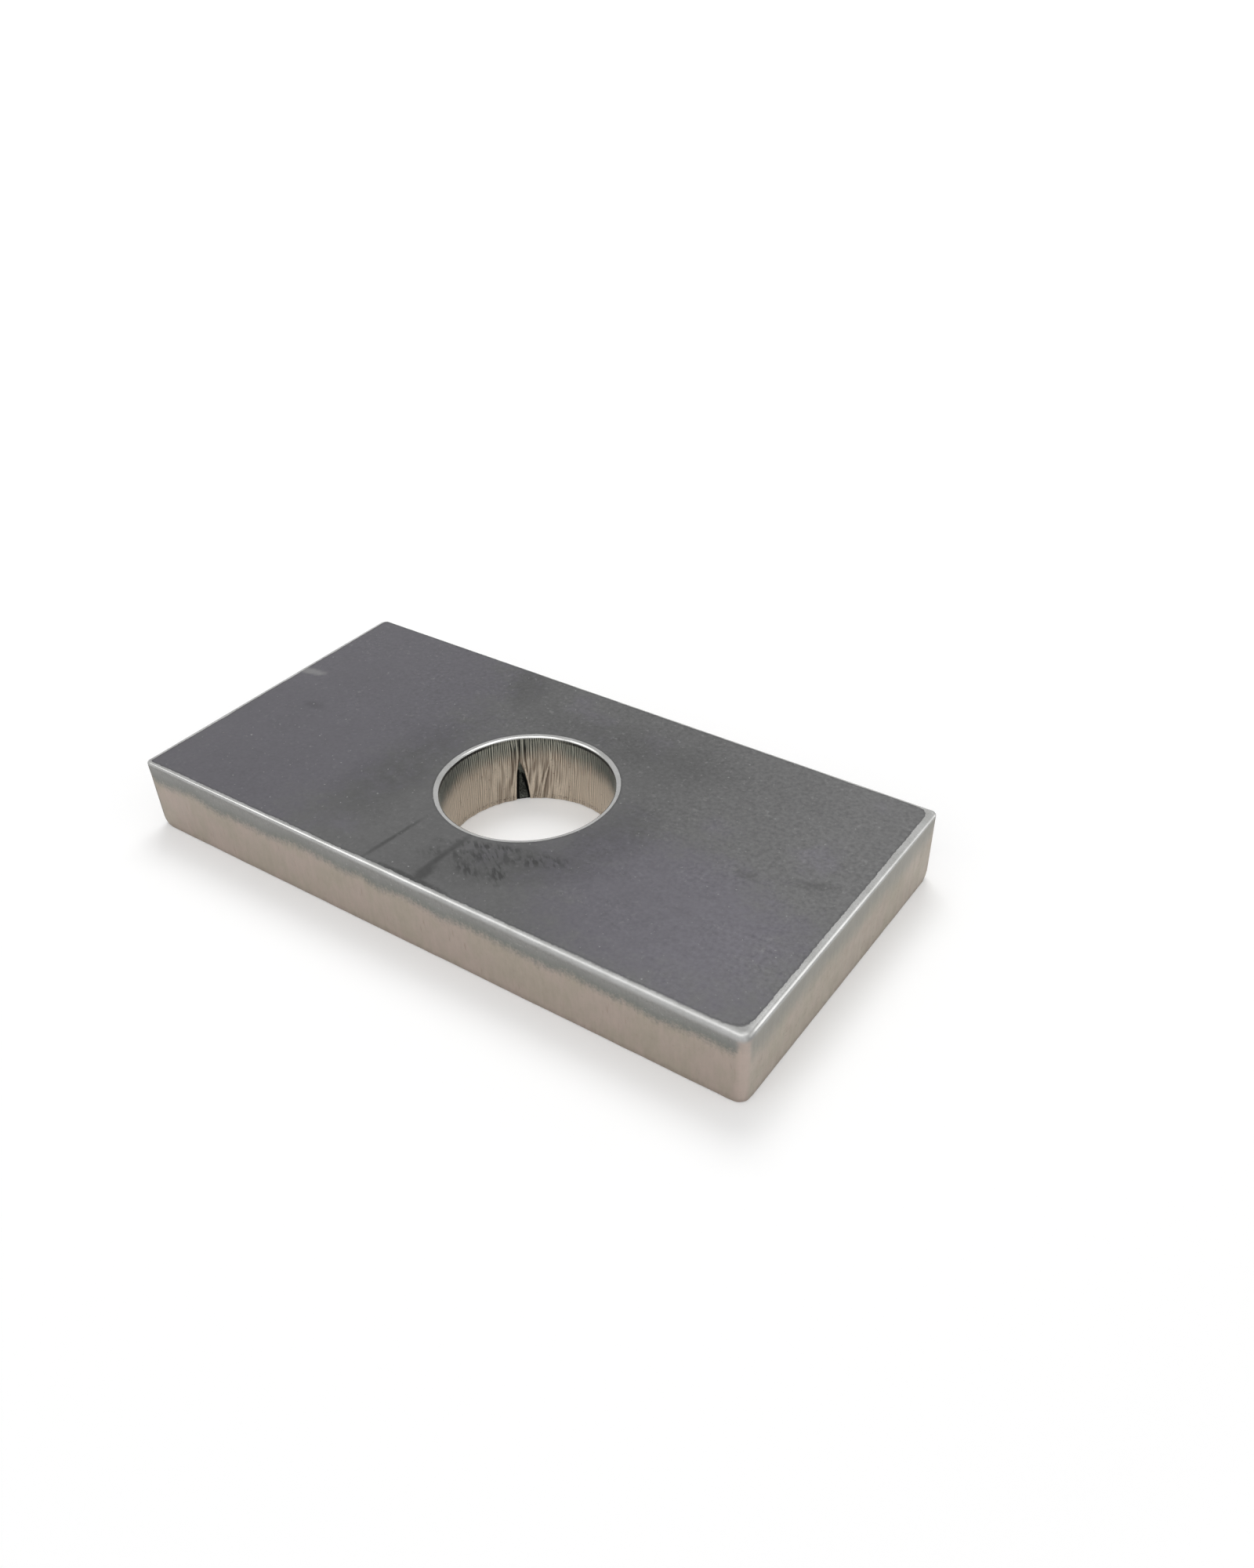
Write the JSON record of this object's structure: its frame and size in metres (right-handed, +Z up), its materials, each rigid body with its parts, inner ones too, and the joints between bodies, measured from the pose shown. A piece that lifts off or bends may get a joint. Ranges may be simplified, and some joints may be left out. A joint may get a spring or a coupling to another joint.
{
  "type": "leaf spring spacer",
  "caption": "Thick rectangular steel spacer plate with a large central through hole, rounded edges and a small scoop in the hole's wall.",
  "frame": {"origin": "centre of the hole at the underside", "axes": "+X along the length, +Y along the width, +Z up through the thickness along the hole's axis"},
  "size_m": [0.1142, 0.0572, 0.0127],
  "materials": {
    "cut_steel": "dark mill scale on the faces, bare cut steel on the sides"
  },
  "bodies": {
    "root": {"spacer_plate": "cut_steel"}
  },
  "joints": []
}
